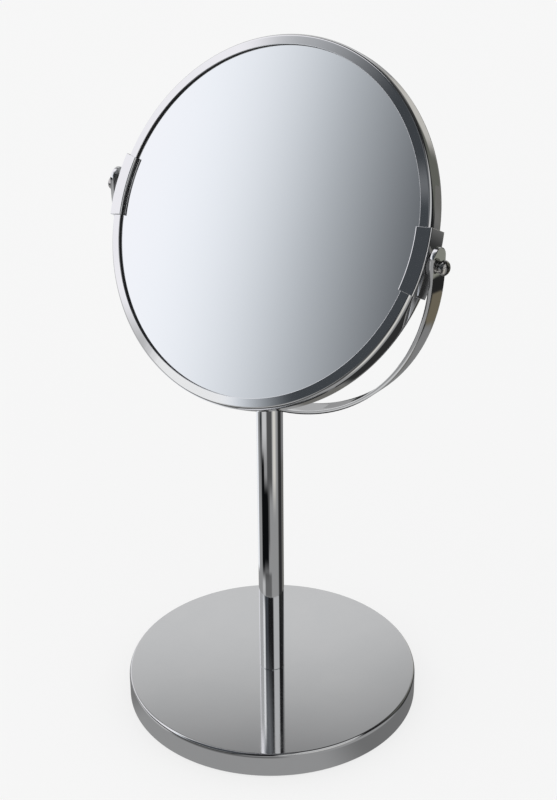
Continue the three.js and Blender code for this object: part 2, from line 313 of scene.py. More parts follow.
def held(roll, face):
    """The rolled edge (mm) with a point more on the wall and on the face, close to its ends."""
    (wall, low), (inner, _) = roll[0], roll[-1]
    on_face = inner - ROLL_HOLDING
    return [(wall, low - ROLL_HOLDING), *roll, (on_face, face(on_face))]


print("a rolled edge has", ROLL_STEPS + 1, "points and two that hold the flats beside it")

# %% [markdown]
# ## Node helpers
#
# Node trees read better in a script when adding a node and wiring it is one call. `add` sets or
# links each input, and `calc` is the same for one step of arithmetic.

# %% Add and wire nodes
def add(tree, kind, inputs=None, **settings):
    """A new node. An input given a socket is linked to it, and given a value is set to it."""
    made = tree.nodes.new(kind)
    for key, value in settings.items():
        setattr(made, key, value)
    for key, value in (inputs or {}).items():
        if isinstance(value, bpy.types.NodeSocket):
            tree.links.new(value, made.inputs[key])
        else:
            made.inputs[key].default_value = value
    return made


def calc(tree, operation, a, b=0.0, c=0.0):
    """The result of one math step on sockets or numbers."""
    kind = "ShaderNodeMath"
    return add(tree, kind, {0: a, 1: b, 2: c}, operation=operation).outputs[0]


def geometry_tree(name, inputs):
    """An empty geometry tree with named inputs, as (tree, its input node, its output node)."""
    tree = bpy.data.node_groups.new(name, "GeometryNodeTree")
    face = tree.interface
    face.new_socket("Geometry", in_out="INPUT", socket_type="NodeSocketGeometry")
    for label, kind in inputs:
        face.new_socket(label, in_out="INPUT", socket_type=kind)
    face.new_socket("Geometry", in_out="OUTPUT", socket_type="NodeSocketGeometry")
    return tree, add(tree, "NodeGroupInput"), add(tree, "NodeGroupOutput")


def grow(piece, tree, values):
    """Runs a geometry tree on a piece with the named values, and keeps the plain mesh."""
    modifier = piece.modifiers.new(tree.name, "NODES")
    modifier.node_group = tree
    for socket in tree.interface.items_tree:
        if socket.in_out == "INPUT" and socket.name in values:
            modifier[socket.identifier] = values[socket.name]
    bpy.context.view_layer.update()
    shaped = piece.evaluated_get(bpy.context.evaluated_depsgraph_get())
    mesh = bpy.data.meshes.new_from_object(shaped)
    piece.modifiers.clear()
    piece.data = mesh
    return piece


print("node helpers:", ", ".join(helper.__name__ for helper in (add, calc, geometry_tree, grow)))

# %% [markdown]
# ## Finishes
#
# Real chrome plate isn't a flat grey. The sheet under it is pressed and polished, so reflections
# wander a little over some centimetres, and polishing leaves faint haze that changes from place to
# place. `plated` gives both: a broad, very shallow bump, and a noise that moves the roughness
# between two close values. The pattern reads Object coordinates, so it stays on the piece.

# %% Patterns for materials
NOISE_RANGE = (0.3, 0.7)  # nearly all of a noise lies between these


def new_material(name):
    """A material with an empty tree, its Principled shader and its output."""
    material = bpy.data.materials.new(name)
    material.use_nodes = True
    tree = material.node_tree
    tree.nodes.clear()
    shader = add(tree, "ShaderNodeBsdfPrincipled")
    output = add(tree, "ShaderNodeOutputMaterial")
    tree.links.new(shader.outputs[0], output.inputs["Surface"])
    return material, tree, shader


def noise(tree, size, detail=2.0):
    """A noise whose features are about `size` metres wide, on Object coordinates."""
    place = add(tree, "ShaderNodeTexCoord").outputs["Object"]
    return add(tree, "ShaderNodeTexNoise", {
        "Vector": place, "Scale": 1 / size, "Detail": detail}).outputs["Fac"]


def between(tree, value, low, high):
    """A noise value stretched over low to high."""
    return add(tree, "ShaderNodeMapRange", {
        "Value": value, "From Min": NOISE_RANGE[0], "From Max": NOISE_RANGE[1],
        "To Min": low, "To Max": high}).outputs["Result"]


def blend_colours(tree, value, dark, light):
    """A colour that goes from dark to light with a noise value."""
    return add(tree, "ShaderNodeMix", {
        "Factor": value, 6: (*dark, 1), 7: (*light, 1)}, data_type="RGBA").outputs[2]


def bump(tree, shader, height, depth):
    """Lifts the surface by a height pattern that is `depth` metres from low to high."""
    raised = add(tree, "ShaderNodeBump", {"Strength": 1.0, "Distance": depth, "Height": height})
    tree.links.new(raised.outputs["Normal"], shader.inputs["Normal"])


print("noises are stretched from", NOISE_RANGE)

# %% [markdown]
# Three sizes of pattern make the plate: patches of tint, finer haze, and the wander of the sheet.
# The tube is drawn, not pressed, so it wanders less. The small screws get a darker copy of the same
# chrome: the darker tint is painted shade, for the dark surroundings that they reflect.

# %% Chrome plate
TINT_PATCH = 18 * MM
HAZE_PATCH = 6 * MM
WANDER_PATCH = 22 * MM


def plated(name, dark, light, haze, wander):
    """Chrome: two close tints, a roughness range and the depth of its broad waviness."""
    material, tree, shader = new_material(name)
    shader.inputs["Metallic"].default_value = 1.0
    patches = noise(tree, TINT_PATCH)
    tree.links.new(blend_colours(tree, patches, dark, light), shader.inputs["Base Color"])
    tree.links.new(between(tree, noise(tree, HAZE_PATCH, 4), *haze), shader.inputs["Roughness"])
    bump(tree, shader, noise(tree, WANDER_PATCH, 1), wander)
    return material


CHROME_DARK = (0.80, 0.81, 0.825)
CHROME_LIGHT = (0.84, 0.845, 0.855)
# The screw tints are the chrome tints darkened: painted shade on the screws.
SCREW_DARK = (0.46, 0.45, 0.44)
SCREW_LIGHT = (0.56, 0.55, 0.54)
MICRON = 0.000001
sheet_chrome = plated("sheet_chrome", CHROME_DARK, CHROME_LIGHT, (0.035, 0.06), 4 * MICRON)
tube_chrome = plated("tube_chrome", CHROME_DARK, CHROME_LIGHT, (0.02, 0.04), 2 * MICRON)
shaded_screw_chrome = plated("shaded_screw_chrome", SCREW_DARK, SCREW_LIGHT, (0.03, 0.07), 2 * MICRON)
print("chrome finishes:", sheet_chrome.name, tube_chrome.name, shaded_screw_chrome.name)

# %% [markdown]
# The glasses are silvered at the back, so they are brighter and smoother than chrome. Float glass
# is nearly flat: its waviness is a thousandth of a millimetre over several centimetres. A thin film
# of wiped-off haze keeps the reflection from looking computed.

# %% Silvered glass
SILVER_DARK = (0.885, 0.895, 0.905)
SILVER_LIGHT = (0.905, 0.91, 0.92)
SILVER_PATCH = 80 * MM
WIPE_TURN = (0.3, 0.5, 0.2)
WIPE_SCALE = (8, 60, 8)  # the marks are narrow one way and long the other two
WIPE_HAZE = (0.004, 0.02)
GLASS_WAVE = 60 * MM


def silvered(name):
    """Mirror glass with faint wipe marks."""
    material, tree, shader = new_material(name)
    shader.inputs["Metallic"].default_value = 1.0
    tint = blend_colours(tree, noise(tree, SILVER_PATCH, 1), SILVER_DARK, SILVER_LIGHT)
    tree.links.new(tint, shader.inputs["Base Color"])
    place = add(tree, "ShaderNodeTexCoord").outputs["Object"]
    along = add(tree, "ShaderNodeMapping", {
        "Vector": place, "Rotation": WIPE_TURN, "Scale": WIPE_SCALE}).outputs[0]
    wipes = add(tree, "ShaderNodeTexNoise", {
        "Vector": along, "Scale": 1.0, "Detail": 3}).outputs["Fac"]
    tree.links.new(between(tree, wipes, *WIPE_HAZE), shader.inputs["Roughness"])
    bump(tree, shader, noise(tree, GLASS_WAVE, 0), MICRON)
    return material


mirror_glass = silvered("mirror_glass")
print("glass finish:", mirror_glass.name)

# %% [markdown]
# The rest is ordinary: black rubber and soft seals, grey moulded plastic, dull zinc plate on the
# hidden steel, and rough cast iron. `dull` covers them all, because each is two tints, a roughness
# range and a grain of a given size and depth.

# %% Rubber, plastic, zinc and iron
GRAINS_PER_PATCH = 6


def dull(name, dark, light, roughness, grain, depth, metallic=0.0):
    """A matte finish: two tints mixed by its grain, a roughness range and a bump."""
    material, tree, shader = new_material(name)
    shader.inputs["Metallic"].default_value = metallic
    speckle = noise(tree, grain, 5)
    tree.links.new(blend_colours(tree, speckle, dark, light), shader.inputs["Base Color"])
    patches = noise(tree, GRAINS_PER_PATCH * grain)
    tree.links.new(between(tree, patches, *roughness), shader.inputs["Roughness"])
    bump(tree, shader, speckle, depth)
    return material


black_rubber = dull(
    "black_rubber", (0.008, 0.008, 0.009), (0.02, 0.02, 0.021),
    roughness=(0.55, 0.75), grain=0.6 * MM, depth=30 * MICRON)
grey_plastic = dull(
    "grey_plastic", (0.07, 0.072, 0.075), (0.10, 0.102, 0.105),
    roughness=(0.45, 0.6), grain=0.4 * MM, depth=10 * MICRON)
zinc_plate = dull(
    "zinc_plate", (0.42, 0.43, 0.44), (0.55, 0.56, 0.56),
    roughness=(0.28, 0.42), grain=0.8 * MM, depth=6 * MICRON, metallic=1.0)
cast_iron = dull(
    "cast_iron", (0.03, 0.029, 0.028), (0.08, 0.078, 0.075),
    roughness=(0.7, 0.9), grain=1.2 * MM, depth=120 * MICRON, metallic=0.7)
print("matte finishes:", black_rubber.name, grey_plastic.name, zinc_plate.name, cast_iron.name)

# %% [markdown]
# A finished piece needs its finish and the body that it moves with, and the CAD node that it
# stands for has to be hidden. `dress` does all three, so that no piece can forget one.

# %% Hand a piece over to the frame
def dress(piece, material, body, slot, *nodes):
    """Gives a piece its finish and its body, and hides the CAD nodes that it stands for. `slot` is not
    used.
    """
    piece.data.materials.clear()
    piece.data.materials.append(material)
    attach(piece, body)
    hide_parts(*nodes)
    shape_report(piece)


# %% [markdown]
# ## The base
#
# The base is one pressed steel cup, upside down, over a heavy disc. A press can't make a sharp
# corner: the top rolls over into the wall, and the hem at the bottom is a bare sheet edge. Both come
# from the outline. The wall is really a sheet, so the underside is as open as the real one.

# %% The pressed cup
SHEET = 1.0
CUP_ROLL_WIDTH = 1.0
CUP_ROLL_DEPTH = 2.5
wide = base_radius / MM
top = base_top / MM
hem = shell_low.z / MM
screw_hole = 2.8


def cup_face(radius):
    """The height of the cup's flat top, which is the same at every radius."""
    return top


cup = turned("base_cup", soften([
    (wide, hem, 0.3),
    *held(rolled_edge(wide, CUP_ROLL_WIDTH, CUP_ROLL_DEPTH, cup_face), cup_face),
    (screw_hole, top, 0.2),
    (screw_hole, top - SHEET, 0.2),
    (wide - SHEET, top - SHEET, 0.4),
    (wide - SHEET, hem, 0.3),
]), steps=360)
dress(cup, sheet_chrome, "stand", "chrome_plate", "base_shell")

# %% [markdown]
# A plastic plate closes the cup from below, and a soft pad under it keeps the mirror from sliding.
# Both are plain rings, so one function makes them from the sizes of their CAD nodes. The plastic is
# moulded with a small radius, and the pad, which is cut from soft sheet, has a larger one.

# %% The closing plate and the pad
def ring_from(name, node, corner, steps=192):
    """A plain ring as wide and high as a CAD node, with softened corners. Its bore is measured."""
    low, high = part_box(node)
    bore = min(v.co.xy.length for v in frame["nodes"][node].data.vertices)
    inner, outer = bore / MM, high.x / MM
    return turned(name, soften([
        (inner, low.z / MM), (outer, low.z / MM), (outer, high.z / MM), (inner, high.z / MM),
    ], corner), steps)


closing_plate = ring_from("base_closing_plate", "base_plate", corner=0.3)
dress(closing_plate, grey_plastic, "stand", "grey_plastic", "base_plate")
pad = ring_from("non_slip_pad", "foot_pad", corner=0.6)
dress(pad, black_rubber, "stand", "black_rubber", "foot_pad")

# %% [markdown]
# ## The post
#
# A plain half-inch tube. It stands on the cup and reaches up to the yoke, so its two ends are
# softened a little: the fine dark line at its foot is the shadow in that softened edge.

# %% The tube
FOOT_GAP = 0.05
HEAD_REACH = 0.2  # the CAD leaves a gap under the yoke, and the tube reaches into it
TUBE_WALL = 1.0
TUBE_EDGE = 0.25
outside = post_radius / MM
foot = top + FOOT_GAP
head = post_high.z / MM + HEAD_REACH
post = turned("post", soften([
    (outside - TUBE_WALL, foot), (outside, foot), (outside, head), (outside - TUBE_WALL, head),
], TUBE_EDGE), steps=128)
dress(post, tube_chrome, "stand", "chrome_plate", "post_tube")

# %% [markdown]
# ## The yoke
#
# The yoke is a flat strip, bent to a half ring, with straight ears and round ends. Its shape
# follows a rule, so it is a job for Geometry Nodes: a flat block, as long as the strip, whose
# points are moved to where the bend puts them. `d` is how far a point is from the nearer end. Over
# the last half width the strip narrows as a half circle, and past the ear it starts to bend.

# %% The tree that bends a strip
def bent_strip_tree():
    """A strip of any size bent to a half ring with straight, round-ended ears."""
    floats = ("Inner Radius", "Thickness", "Width", "Ear", "Centre Height")
    tree, given, result = geometry_tree("bent strip", [
        *((label, "NodeSocketFloat") for label in floats),
        ("Steps", "NodeSocketInt"), ("Finish", "NodeSocketMaterial")])
    inner, thickness, width, ear, centre = (given.outputs[label] for label in floats)
    block = add(tree, "GeometryNodeMeshCube", {
        "Size": (1, 2, 1), "Vertices X": given.outputs["Steps"], "Vertices Y": 5, "Vertices Z": 2})
    here = add(tree, "ShaderNodeSeparateXYZ", {
        0: add(tree, "GeometryNodeInputPosition").outputs[0]}).outputs

    middle = calc(tree, "MULTIPLY_ADD", thickness, 0.5, inner)
    quarter_turn = math.pi / 2
    half_length = calc(tree, "MULTIPLY_ADD", middle, quarter_turn, ear)
    half_width = calc(tree, "MULTIPLY", width, 0.5)

    from_middle = calc(tree, "ABSOLUTE", calc(tree, "MULTIPLY", here["X"], 2.0))
    d = calc(tree, "MULTIPLY", calc(tree, "SUBTRACT", 1.0, from_middle), half_length)
    into_end = calc(tree, "MINIMUM", calc(tree, "DIVIDE", d, half_width), 1.0)
    end_angle = calc(tree, "MULTIPLY", into_end, quarter_turn)
    round_part = calc(tree, "SUBTRACT", 1.0, calc(tree, "COSINE", end_angle))
    straight_part = calc(tree, "MAXIMUM", calc(tree, "SUBTRACT", d, half_width), 0.0)
    along = calc(tree, "MULTIPLY_ADD", round_part, half_width, straight_part)
    local_width = calc(tree, "MULTIPLY", calc(tree, "SINE", end_angle), half_width)

    past_ear = calc(tree, "DIVIDE", calc(tree, "SUBTRACT", along, ear), middle)
    bend = calc(tree, "MINIMUM", calc(tree, "MAXIMUM", past_ear, 0.0), quarter_turn)
    rise = calc(tree, "MAXIMUM", calc(tree, "SUBTRACT", ear, along), 0.0)
    radius = calc(tree, "MULTIPLY_ADD", calc(tree, "ADD", here["Z"], 0.5), thickness, inner)
    across = calc(tree, "MULTIPLY", radius, calc(tree, "COSINE", bend))
    down = calc(tree, "MULTIPLY", radius, calc(tree, "SINE", bend))
    place = add(tree, "ShaderNodeCombineXYZ", {
        "X": calc(tree, "MULTIPLY", across, calc(tree, "SIGN", here["X"])),
        "Y": calc(tree, "MULTIPLY", calc(tree, "MULTIPLY", here["Y"], -1.0), local_width),
        "Z": calc(tree, "ADD", calc(tree, "SUBTRACT", centre, down), rise)}).outputs[0]

    bent = add(tree, "GeometryNodeSetPosition", {
        "Geometry": block.outputs["Mesh"], "Position": place})
    welded = add(tree, "GeometryNodeMergeByDistance", {
        "Geometry": bent.outputs[0], "Distance": WELD})
    real = add(tree, "GeometryNodeRealizeInstances", {"Geometry": welded.outputs[0]})
    coated = add(tree, "GeometryNodeSetMaterial", {
        "Geometry": real.outputs[0], "Material": given.outputs["Finish"]})
    tree.links.new(coated.outputs[0], result.inputs[0])
    return tree


strip_tree = bent_strip_tree()
print("the tree that bends a strip has", len(strip_tree.nodes), "nodes")

# %% [markdown]
# The bent block still has knife edges. A Bevel modifier breaks them, as tumbling does on a real
# stamped strip. Then the holes are cut: one in each ear for the pivots and one at the bottom for
# the screw that holds the yoke on the post. `bake` keeps what the modifiers made as a plain mesh.

# %% Plain meshes from modifiers, and cuts
def bake(piece):
    """Replaces a piece's mesh by its evaluated mesh, shaded again, and removes its modifiers."""
    bpy.context.view_layer.update()
    shaped = piece.evaluated_get(bpy.context.evaluated_depsgraph_get())
    mesh = bpy.data.meshes.new_from_object(shaped)
    piece.modifiers.clear()
    piece.data = mesh
    mesh.shade_smooth()
    mesh.set_sharp_from_angle(angle=math.radians(SHARP))


def cut(piece, cutter):
    """Cuts one mesh object out of another and throws the cutter away."""
    modifier = piece.modifiers.new("cut", "BOOLEAN")
    modifier.operation = "DIFFERENCE"
    modifier.solver = "EXACT"
    modifier.object = cutter
    bake(piece)
    bpy.data.objects.remove(cutter)


TO_RIGHT = Matrix.Rotation(math.pi / 2, 4, "Y")


def drill(piece, radius, low, high, place=Matrix.Identity(4)):
    """Drills a round hole (mm) through a piece. The hole runs along Z before it is placed."""
    pin = turned("pin", [(0, low), (radius, low), (radius, high), (0, high)], steps=48)
    pin.data.transform(place)
    cut(piece, pin)


print("TO_RIGHT turns the Z axis to", [round(v, 1) for v in TO_RIGHT @ Vector((0, 0, 1))])

# %% [markdown]
# Now the strip is grown with the yoke's own sizes, its edges are broken, and the holes are drilled.
# The number of steps is odd, so that the strip has a point in its middle, and high, because a
# polished bend shows every facet.

# %% Make the yoke
EAR_RISE = 9.4
YOKE_SHEET = 1.8
YOKE_STEPS = 601
TUMBLED_EDGE = 0.3
TUMBLED_STEPS = 3
KNIFE_EDGE = math.radians(50)
PIVOT_HOLE = 1.8
POST_SCREW_HOLE = 2.3
DRILL_PAST = 2.0

yoke_centre = yoke_high.z - EAR_RISE * MM
yoke = bpy.data.objects.new("yoke_strip", bpy.data.meshes.new("yoke_strip"))
bpy.context.scene.collection.objects.link(yoke)
grow(yoke, strip_tree, {
    "Inner Radius": yoke_reach - YOKE_SHEET * MM,
    "Thickness": YOKE_SHEET * MM,
    "Width": yoke_width,
    "Ear": EAR_RISE * MM,
    "Centre Height": yoke_centre,
    "Steps": YOKE_STEPS,
    "Finish": sheet_chrome,
})
tumbled = yoke.modifiers.new("tumbled edges", "BEVEL")
tumbled.width = TUMBLED_EDGE * MM
tumbled.segments = TUMBLED_STEPS
tumbled.limit_method = "ANGLE"
tumbled.angle_limit = KNIFE_EDGE
bake(yoke)
reach = yoke_reach / MM + DRILL_PAST
underneath = yoke_low.z / MM
drill(yoke, PIVOT_HOLE, -reach, reach, Matrix.Translation(pivot) @ TO_RIGHT)
drill(yoke, POST_SCREW_HOLE, underneath - DRILL_PAST, underneath + YOKE_SHEET + DRILL_PAST)
dress(yoke, sheet_chrome, "stand", "chrome_plate", "yoke")

# %% [markdown]
# ## Screws
#
# The screws have a cross recess. The recess is two tapered blades, cut into the head one after the
# other. One function turns a screw from its head and shank sizes, so that all of them are alike.

# %% Cross-recess screws
RECESS_TAPER = 0.45
RECESS_WIDTH = 0.18   # shares of the head's radius
RECESS_LENGTH = 0.8
RECESS_DEPTH = 0.4    # shares of the head's height
UPRIGHT_EDGE = 0.2
FLAT_CROWN = 0.6      # the power that flattens a low head's crown
CROWN_STEPS = 12
TIP_CHAMFER = (0.5, 0.7)
BLADE_RISE = 1.0      # mm that a blade stands out of the head


def blade(width, length, depth, top_height, quarter_turned):
    """A wedge-shaped cutter (mm) that narrows towards its tip."""
    shape = bmesh.new()
    bmesh.ops.create_cube(shape, size=1)
    for corner in shape.verts:
        narrow = 1.0 if corner.co.z > 0 else RECESS_TAPER
        x, y = corner.co.x * length * narrow, corner.co.y * width * narrow
        z = top_height + (BLADE_RISE if corner.co.z > 0 else -depth)
        corner.co = MM * Vector((y, x, z) if quarter_turned else (x, y, z))
    return finished("blade", shape)


def screw(name, head_radius, head_height, shank_radius, seat, tip, dome=True):
    """A screw (mm) along Z with its head up: its head rests at `seat` and its shank ends at `tip`."""
    edge = UPRIGHT_EDGE * head_height
    crown = head_height - edge
    arc = []
    for k in range(CROWN_STEPS):
        a = math.pi / 2 * k / CROWN_STEPS
        bulge = math.sin(a) if dome else math.sin(a) ** FLAT_CROWN
        arc.append((head_radius * math.cos(a), seat + edge + crown * bulge))
    inwards, upwards = TIP_CHAMFER
    shank = [
        (0, tip), (shank_radius - inwards, tip), (shank_radius, tip + upwards), (shank_radius, seat)]
    piece = turned(name, [*shank, (head_radius, seat), *arc, (0, seat + head_height)], steps=96)
    for quarter_turned in (False, True):
        cut(piece, blade(
            RECESS_WIDTH * head_radius, RECESS_LENGTH * head_radius, RECESS_DEPTH * head_height,
            seat + head_height, quarter_turned))
    return piece


def flip_to(height):
    """Turns a piece upside down and sets its own zero at a height in mm."""
    return Matrix.Translation((0, 0, height * MM)) @ Matrix.Rotation(math.pi, 4, "X")


print("a screw's recess is two blades,", RECESS_DEPTH, "of its head deep")

# %% [markdown]
# Two screws hold the stand together. The larger one goes up from below, through a washer, into the
# foot of the post, so it is turned upright and then flipped. The other goes down through the yoke.
# Its head is low and flat, because the mirror passes close over it when the head turns.

# %% The screws of the stand
BASE_HEAD_RADIUS, BASE_HEAD_HEIGHT, BASE_SHANK = 4.6, 2.8, 2.5
YOKE_HEAD_RADIUS, YOKE_HEAD_HEIGHT, YOKE_SHANK = 3.9, 1.9, 2.0

low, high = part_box("base_screw")
base_tip = BASE_HEAD_HEIGHT - (high.z - low.z) / MM
base_fixing = screw("base_fixing_screw", BASE_HEAD_RADIUS, BASE_HEAD_HEIGHT, BASE_SHANK,
                    seat=0, tip=base_tip, dome=False)
base_fixing.data.transform(flip_to(low.z / MM + BASE_HEAD_HEIGHT))
dress(base_fixing, zinc_plate, "stand", "zinc_steel", "base_screw")

low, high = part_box("yoke_screw")
yoke_fixing = screw("yoke_fixing_screw", YOKE_HEAD_RADIUS, YOKE_HEAD_HEIGHT, YOKE_SHANK,
                    seat=high.z / MM - YOKE_HEAD_HEIGHT, tip=low.z / MM, dome=False)
dress(yoke_fixing, shaded_screw_chrome, "stand", "chrome_plate", "yoke_screw")

washer = ring_from("base_flat_washer", "base_washer", corner=0.15)
dress(washer, zinc_plate, "stand", "zinc_steel", "base_washer")

# %% [markdown]
# ## The mirror head
#
# The head is made lying down, facing +Z round its own middle, where every piece is a turned shape
# with simple numbers. `HEAD` then leans it back and lifts it to the pivots. The matrix goes into
# each mesh, so that the finished objects stay at the origin.

# %% The head's own frame
HEAD = (Matrix.Translation(pivot) @ Matrix.Rotation(-lean, 4, "X")
        @ Matrix.Rotation(math.pi / 2, 4, "X"))


def head_size(node):
    """Least and greatest radius, least and greatest depth of a node in the head's own frame (mm)."""
    lying = [HEAD.inverted() @ v.co for v in frame["nodes"][node].data.vertices]
    radii = [p.xy.length / MM for p in lying]
    depths = [p.z / MM for p in lying]
    return min(radii), max(radii), min(depths), max(depths)


def mirrored(front_half):
    """A section from its front half: the same points follow, on the other side of the middle."""
    return [*front_half, *((p[0], -p[1], *p[2:]) for p in reversed(front_half))]


lip_radius, rim_radius, _, lip_depth = head_size("rim_upper")
print(f"rim radius {rim_radius:.1f} mm, lip radius {lip_radius:.1f} mm, lip depth {lip_depth:.1f} mm")

# %% [markdown]
# The rim is a strip rolled to a channel. Its outer wall is a narrow cylinder. A rolled edge leads
# from it into each of the two faces, and these rise a little towards the glass. The rolled edge
# matters more than it seems: it gathers the whole room into a few thin lines along the rim. The
# lips stop just over the glass, and rolling has drawn their ends a little thinner than the sheet.
# The rim is rolled in two halves, and the two joints lie under the clips.

# %% Roll the rim
WALL_DEPTH = 5.14
RIM_SHEET = 0.7
LIP_HEM = 0.5
SHOULDER_WIDTH = 1.6
SHOULDER_DEPTH = 3.2
INNER_STEP = 0.1   # how far inside the shoulder the channel's inner corner lies
INNER_RISE = 1.0   # how far towards the face the inner wall goes past the start of the shoulder
slope = (lip_depth - WALL_DEPTH) / (rim_radius - lip_radius)


def ring_face(radius, lift=0.0):
    """Depth of the rim's sloping face at a radius, or of a layer lifted off it (mm)."""
    return WALL_DEPTH + (rim_radius - radius) * slope + lift * math.hypot(1, slope)


outer_bend = rolled_edge(rim_radius, SHOULDER_WIDTH, SHOULDER_DEPTH, ring_face, slope)
inside_corner = rim_radius - SHOULDER_WIDTH - INNER_STEP
rim_section = soften(mirrored([
    *held(outer_bend, ring_face),
    (lip_radius, lip_depth, 0.4),
    (lip_radius, ring_face(lip_radius, -LIP_HEM), 0.1),
    (inside_corner, ring_face(inside_corner, -RIM_SHEET), 0.2),
    (rim_radius - RIM_SHEET, outer_bend[0][1] + INNER_RISE, 0.5),
]))
JOINT_GAP = 0.1  # degrees
for name, node, start in (("rim_top_half", "rim_upper", 0), ("rim_bottom_half", "rim_lower", 180)):
    half = turned(name, rim_section, steps=240, start=start + JOINT_GAP,
                  sweep=180 - 2 * JOINT_GAP, end_round=0.1)
    half.data.transform(HEAD)
    dress(half, sheet_chrome, "head", "chrome_plate", node)

# %% [markdown]
# ## The glasses and their seals
#
# The front glass is flat, and its edge is ground to a small bevel. The rear one magnifies, so it is
# a shallow bowl: `sag` is the depth of a sphere's cap under its edge. Its curve needs enough steps,
# because a mirror shows every facet.

# %% Two glasses
GLASS_THICK = 2.0
GROUND_EDGE = 0.3
BOWL_RADIUS = 1000.0
BOWL_STEPS = 40
_, glass_radius, _, glass_face = head_size("front_mirror")


def sag(radius):
    """How deep the bowl is at a radius, measured from its edge."""
    return (glass_radius ** 2 - radius ** 2) / (2 * BOWL_RADIUS)


flat = turned("flat_glass", soften([
    (0, glass_face - GLASS_THICK),
    (glass_radius, glass_face - GLASS_THICK, GROUND_EDGE),
    (glass_radius, glass_face, GROUND_EDGE),
    (0, glass_face),
]), steps=256)
radii = [glass_radius * k / BOWL_STEPS for k in range(BOWL_STEPS + 1)]
bowl = turned("magnifying_glass", [
    *((r, sag(r) - glass_face) for r in radii),
    *((r, sag(r) - glass_face + GLASS_THICK) for r in reversed(radii)),
], steps=256)
for glass, node in ((flat, "front_mirror"), (bowl, "rear_mirror")):
    glass.data.transform(HEAD)
    dress(glass, mirror_glass, "head", "silvered_glass", node)

# %% [markdown]
# A black seal fills the angle between each lip and its glass. Its bore is as wide as the lip's, so
# that it shows only as a fine dark line under the lip's bright edge.

# %% Two seals
SEAL_WIDTH = 1.3
SEAL_GAP = 0.02
SEAL_CORNER = 0.08
bore, outer = lip_radius, lip_radius + SEAL_WIDTH
seal_section = [
    (bore, glass_face + SEAL_GAP),
    (outer, glass_face + SEAL_GAP),
    (outer, ring_face(outer, -RIM_SHEET) - SEAL_GAP),
    (bore, ring_face(bore, -RIM_SHEET) - SEAL_GAP),
]
for name, node, side in (("front_seal", "front_gasket", 1), ("rear_seal", "rear_gasket", -1)):
    section = seal_section if side > 0 else [(r, -h) for r, h in reversed(seal_section)]
    seal = turned(name, soften(section, SEAL_CORNER), steps=240)
    seal.data.transform(HEAD)
    dress(seal, black_rubber, "head", "black_rubber", node)

# %% [markdown]
# ## What comes in pairs
#
# A saddle clip, two washers and a domed screw sit at each end of the tilt axis. One of each is made
# at the right. A tree then sets copies of it evenly round the head's middle, here two. A mirror
# image would turn the mesh inside out, and a turn doesn't.

# %% The tree that sets copies round the middle
def round_the_middle_tree():
    """Copies of an object, evenly turned about Z."""
    tree, given, result = geometry_tree("round the middle", [
        ("Piece", "NodeSocketObject"), ("Count", "NodeSocketInt"), ("Finish", "NodeSocketMaterial")])
    source = add(tree, "GeometryNodeObjectInfo", {"Object": given.outputs["Piece"]})
    points = add(tree, "GeometryNodePoints", {"Count": given.outputs["Count"]})
    step = calc(tree, "DIVIDE", 2 * math.pi, given.outputs["Count"])
    turn = calc(tree, "MULTIPLY", add(tree, "GeometryNodeInputIndex").outputs[0], step)
    copies = add(tree, "GeometryNodeInstanceOnPoints", {
        "Points": points.outputs[0],
        "Instance": source.outputs["Geometry"],
        "Rotation": add(tree, "ShaderNodeCombineXYZ", {"Z": turn}).outputs[0]})
    real = add(tree, "GeometryNodeRealizeInstances", {"Geometry": copies.outputs[0]})
    coated = add(tree, "GeometryNodeSetMaterial", {
        "Geometry": real.outputs[0], "Material": given.outputs["Finish"]})
    tree.links.new(coated.outputs[0], result.inputs[0])
    return tree


pair_tree = round_the_middle_tree()
print("the tree that sets copies round the middle has", len(pair_tree.nodes), "nodes")

# %% [markdown]
# `pair` runs that tree on an empty object, leans the result back with the head, and hands it over as
# one piece that stands for the left and the right CAD node.

# %% Make a pair
def pair(source, name, material, slot, kind):
    """Makes the pair from its right-hand piece, which is removed, and puts it on the head."""
    both = bpy.data.objects.new(name, bpy.data.meshes.new(name))
    bpy.context.scene.collection.objects.link(both)
    grow(both, pair_tree, {"Piece": source, "Count": 2, "Finish": material})
    both.data.transform(HEAD)
    bpy.data.objects.remove(source)
    dress(both, material, "head", slot, f"left_{kind}", f"right_{kind}")


print("pairs are set about the head's middle at", [round(v / MM, 1) for v in pivot], "mm")

# %% [markdown]
# The clip is a short piece of sheet that wraps over both faces of the rim and hooks over its lips.
# It stands a sheet's thickness proud, and its edges catch the light all round, so it gets its own
# small radii and rounded ends.

# %% Saddle clips
CLIP_ANGLE = 20.0
CLIP_SHEET = 1.0
CLIP_LIP = 78.9
CLIP_HOOK = 5.5
CLEAR = 0.06
HOOK_PAST_LIP = 0.25
CLIP_DRILL = 5.0
clip_reach = rim_radius + CLEAR + CLIP_SHEET
hook_bore = lip_radius - HOOK_PAST_LIP
clip_section = soften(mirrored([
    (clip_reach, ring_face(clip_reach, CLEAR + CLIP_SHEET), 0.75),
    (CLIP_LIP, ring_face(CLIP_LIP, CLEAR + CLIP_SHEET), 0.5),
    (CLIP_LIP, CLIP_HOOK, 0.2),
    (hook_bore, CLIP_HOOK, 0.2),
    (hook_bore, ring_face(hook_bore, CLEAR), 0.1),
    (rim_radius + CLEAR, ring_face(rim_radius + CLEAR, CLEAR), 0.2),
]))
clip = turned("clip", clip_section, steps=160, start=-CLIP_ANGLE / 2,
              sweep=CLIP_ANGLE, end_round=0.22)
drill(clip, PIVOT_HOLE, rim_radius - CLIP_DRILL, rim_radius + CLIP_DRILL, TO_RIGHT)
pair(clip, "saddle_clips", sheet_chrome, "chrome_plate", "clip")

# %% [markdown]
# The pivot hardware is threaded on the tilt axis, from the clip outwards: a friction washer, the
# yoke's ear, a small collar and the domed screw. Each one sits on the next. The collar holds the
# wide head off the ear, so there is a dark gap behind it, which the polished ear shows twice.

